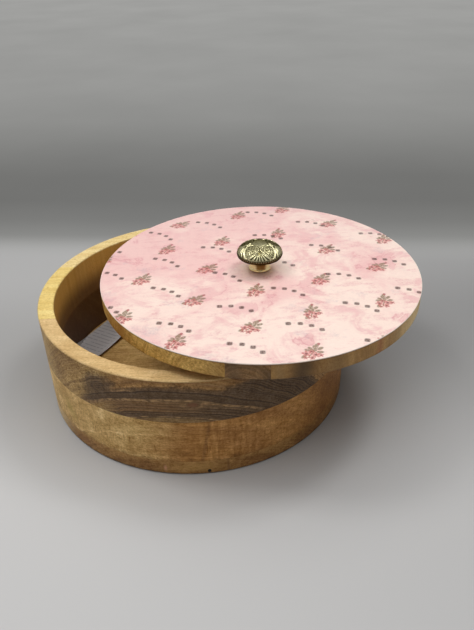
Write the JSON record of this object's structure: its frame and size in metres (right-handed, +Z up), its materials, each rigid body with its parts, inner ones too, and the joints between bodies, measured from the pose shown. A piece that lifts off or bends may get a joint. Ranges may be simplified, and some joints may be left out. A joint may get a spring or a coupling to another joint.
{
  "type": "roti box",
  "caption": "Round wooden box with a flat lift-off lid that carries a printed top and a metal mushroom knob, lid lying open on the rim.",
  "frame": {"origin": "centre of the box's flat underside", "axes": "+Z up along the box's axis; +X to the right, roughly the way the open lid is pushed; -Y towards the front, where the picture was taken from"},
  "size_m": [0.3075, 0.2664, 0.1307],
  "materials": {
    "base_wood": "mango wood, matt oil finish",
    "lower_ring_wood": "golden brown mango wood, matt oil finish",
    "dark_ring_wood": "dark streaked mango wood, matt oil finish",
    "pale_ring_wood": "straw yellow mango wood, matt oil finish",
    "lid_wood": "mango wood, end grain at front and back, matt oil finish",
    "disc_wood": "plain wood disc, unfinished",
    "printed_top": "satin printed sheet, pink watercolour ground with small sprigs",
    "polished_brass": "polished",
    "antique_brass": "embossed, antiqued, greenish in the hollows",
    "screw_steel": "zinc plated",
    "label_paper": "matt white paper"
  },
  "bodies": {
    "box": {"base_board_front": "base_wood", "base_board_middle": "base_wood", "base_board_back": "base_wood", "lower_ring_front": "lower_ring_wood", "lower_ring_left": "lower_ring_wood", "lower_ring_right": "lower_ring_wood", "lower_ring_back": "lower_ring_wood", "upper_ring_front": "dark_ring_wood", "upper_ring_left": "pale_ring_wood", "upper_ring_right": "pale_ring_wood", "upper_ring_back": "pale_ring_wood", "paper_label": "label_paper"},
    "lid": {"lid_board_left": "lid_wood", "lid_board_middle": "lid_wood", "lid_board_right": "lid_wood", "locating_disc": "disc_wood", "print_sheet": "printed_top", "knob_stem": "polished_brass", "knob_cap": "antique_brass", "fixing_screw": "screw_steel", "screw_washer": "screw_steel"}
  },
  "joints": [
    {"name": "lid_lift", "type": "slide", "parent": "box", "child": "lid", "axis": [0, 0, 1], "range_m": [0, 0.15]}
  ]
}
